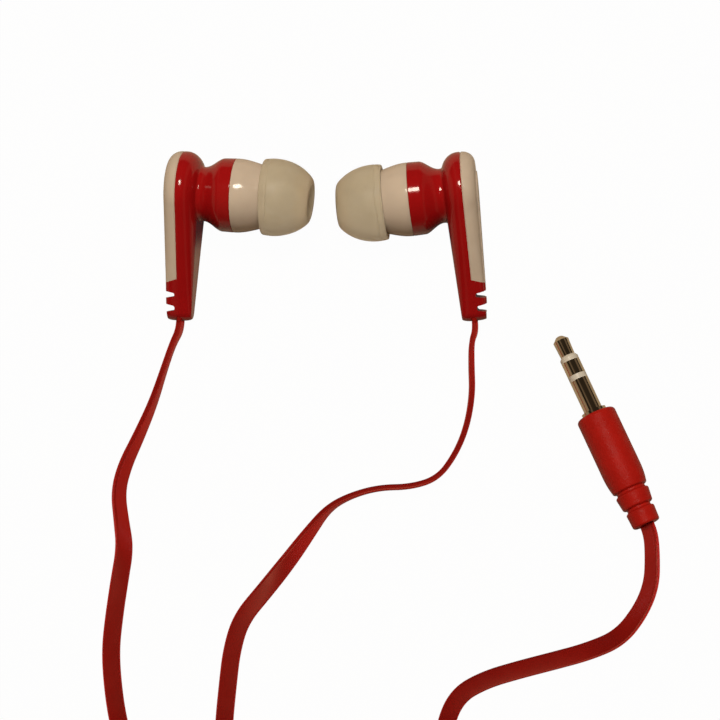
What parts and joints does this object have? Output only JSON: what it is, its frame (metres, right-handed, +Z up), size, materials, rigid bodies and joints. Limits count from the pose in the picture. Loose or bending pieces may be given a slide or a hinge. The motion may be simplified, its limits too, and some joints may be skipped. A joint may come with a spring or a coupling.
{
  "type": "wired in-ear earphones",
  "caption": "Wired in-ear earphones: two buds with silicone tips and comb strain reliefs on a flat cord with a Y split and a stereo jack plug.",
  "frame": {"origin": "on the table, under the middle of the box around the two buds", "axes": "+Z up from the table; +Y from the stem ends to the tops of the buds; +X from the left bud in the picture to the right one"},
  "size_m": [0.1246, 0.1607, 0.0167],
  "materials": {
    "red_shell": "gloss moulded",
    "white_shell": "gloss moulded",
    "silicone": "satin, slightly clear",
    "mesh": "perforated",
    "plated_steel": "plated",
    "driver_plastic": "moulded",
    "film": "thin film",
    "copper": "enamelled copper",
    "magnet": "nickel plated",
    "board": "solder mask",
    "damper": "acoustic paper",
    "cord": "satin",
    "cord_moulding": "satin moulded",
    "contact": "nickel plated",
    "insulator": "moulded"
  },
  "bodies": {
    "earphones": {"left_rear_shell": "red_shell", "left_back_cover": "white_shell", "left_front_shell": "white_shell", "left_nozzle_mesh": "mesh", "left_driver_front_plate": "plated_steel", "left_driver_frame": "driver_plastic", "left_pole_plate": "plated_steel", "left_magnet": "magnet", "left_yoke": "plated_steel", "left_driver_board": "board", "left_vent_damper": "damper", "left_cord_anchor": "cord", "left_lead_wires": "copper", "right_rear_shell": "red_shell", "right_back_cover": "white_shell", "right_front_shell": "white_shell", "right_nozzle_mesh": "mesh", "right_driver_front_plate": "plated_steel", "right_driver_frame": "driver_plastic", "right_pole_plate": "plated_steel", "right_magnet": "magnet", "right_yoke": "plated_steel", "right_driver_board": "board", "right_vent_damper": "damper", "right_cord_anchor": "cord", "right_lead_wires": "copper", "cord_left_lead": "cord", "cord_left_coil": "cord", "cord_left_tail": "cord", "cord_right_lead": "cord", "cord_right_coil": "cord", "cord_right_tail": "cord", "cord_main_lead": "cord", "cord_main_coil": "cord", "cord_main_tail": "cord", "y_split": "cord_moulding", "plug_boot": "cord_moulding", "plug_inner_mould": "driver_plastic", "plug_tip_contact": "contact", "plug_ring_contact": "contact", "plug_sleeve_contact": "contact", "plug_insulators": "insulator", "plug_wires": "cord"},
    "left_tip": {"left_ear_tip": "silicone"},
    "right_tip": {"right_ear_tip": "silicone"},
    "left_cone": {"left_diaphragm": "film", "left_voice_coil": "copper"},
    "right_cone": {"right_diaphragm": "film", "right_voice_coil": "copper"}
  },
  "joints": [
    {"name": "left_tip_pull", "type": "slide", "parent": "earphones", "child": "left_tip", "axis": [0.9915, -0.0693, 0.1097], "range_m": [-0.0004, 0.0013]},
    {"name": "right_tip_pull", "type": "slide", "parent": "earphones", "child": "right_tip", "axis": [-0.9898, -0.0866, -0.1132], "range_m": [0, 0.0018]},
    {"name": "left_cone_stroke", "type": "slide", "parent": "earphones", "child": "left_cone", "axis": [0.9915, -0.0693, 0.1097], "range_m": [-0.00015, 0.00015], "stiffness_N_per_m": 400},
    {"name": "right_cone_stroke", "type": "slide", "parent": "earphones", "child": "right_cone", "axis": [-0.9898, -0.0866, -0.1132], "range_m": [-0.00015, 0.00015], "stiffness_N_per_m": 400}
  ]
}
